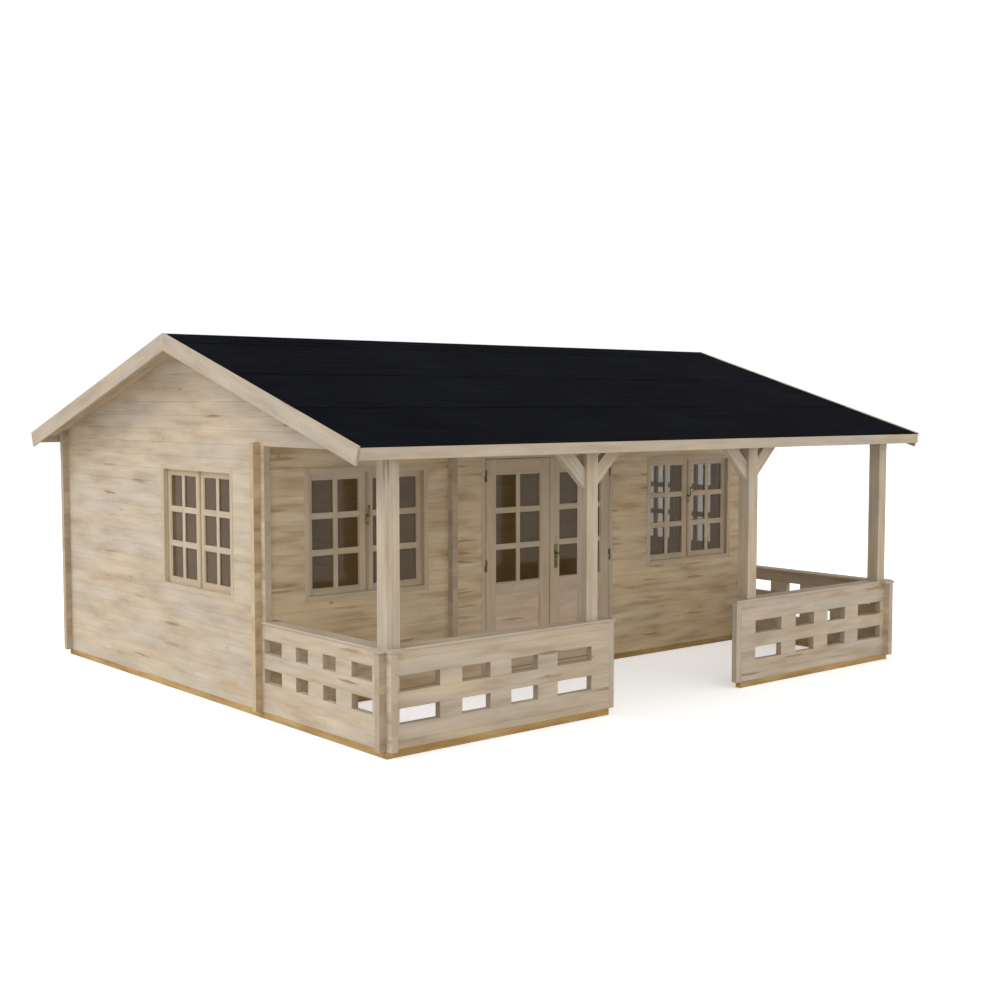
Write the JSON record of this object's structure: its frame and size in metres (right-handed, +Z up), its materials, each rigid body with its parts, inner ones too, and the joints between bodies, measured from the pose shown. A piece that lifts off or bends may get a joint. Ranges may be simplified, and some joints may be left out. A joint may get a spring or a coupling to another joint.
{
  "type": "log cabin",
  "caption": "Garden log cabin with crossed log corners, a low pitched felt roof, a roofed front porch with posts and cut-out balustrade, glazed double doors and paired windows.",
  "frame": {"origin": "centre of the footprint under the roof, on the ground", "axes": "+X along the ridge to the right as seen from the porch, +Y from the porch to the back wall, +Z up"},
  "size_m": [6.76, 5.8, 3.1504],
  "materials": {
    "spruce": "planed, unpainted, pale with fine grain and small knots",
    "treated_wood": "sawn and pressure treated, golden brown",
    "roof_felt": "matt mineral felt",
    "tinted_glass": "smooth, tinted brown",
    "brass": "aged, satin"
  },
  "bodies": {
    "cabin": {"side_base_beams": "treated_wood", "cross_base_beams": "treated_wood", "floor_joists": "treated_wood", "floor_boards": "spruce", "back_wall": "spruce", "left_wall": "spruce", "right_wall": "spruce", "front_wall_left": "spruce", "front_wall_right": "spruce", "front_wall_over_door": "spruce", "inner_wall": "spruce", "left_gable": "spruce", "right_gable": "spruce", "front_left_balustrade": "spruce", "front_right_balustrade": "spruce", "left_side_balustrade": "spruce", "right_side_balustrade": "spruce", "balustrade_end_posts": "spruce", "balustrade_caps": "spruce", "porch_posts": "spruce", "post_braces": "spruce", "porch_beam": "spruce", "ridge_purlin": "spruce", "side_purlins": "spruce", "front_roof_boards": "spruce", "back_roof_boards": "spruce", "front_roof_felt": "roof_felt", "back_roof_felt": "roof_felt", "left_barge_boards": "spruce", "right_barge_boards": "spruce", "front_fascia": "spruce", "back_fascia": "spruce", "window_frames": "spruce", "window_sashes": "spruce", "window_glass": "tinted_glass", "door_frame": "spruce", "frame_hinges": "brass"},
    "left_door": {"left_door": "spruce", "left_door_glass": "tinted_glass", "left_door_hinges": "brass"},
    "right_door": {"right_door": "spruce", "right_door_glass": "tinted_glass", "right_door_hinges": "brass", "door_handle_plates": "brass"},
    "door_lever": {"door_lever": "brass"}
  },
  "joints": [
    {"name": "left_door_hinge", "type": "hinge", "parent": "cabin", "child": "left_door", "pos_m": [-0.7155, -1.063, 1], "axis": [0, 0, -1], "range_deg": [0, 160]},
    {"name": "right_door_hinge", "type": "hinge", "parent": "cabin", "child": "right_door", "pos_m": [0.8695, -1.063, 1], "axis": [0, 0, 1], "range_deg": [0, 160]},
    {"name": "door_lever_turn", "type": "hinge", "parent": "right_door", "child": "door_lever", "pos_m": [0.1505, -1.054, 1.128], "axis": [0, 1, 0], "range_deg": [0, 40], "stiffness_Nm_per_rad": 1.5, "springref_deg": -22.92}
  ]
}
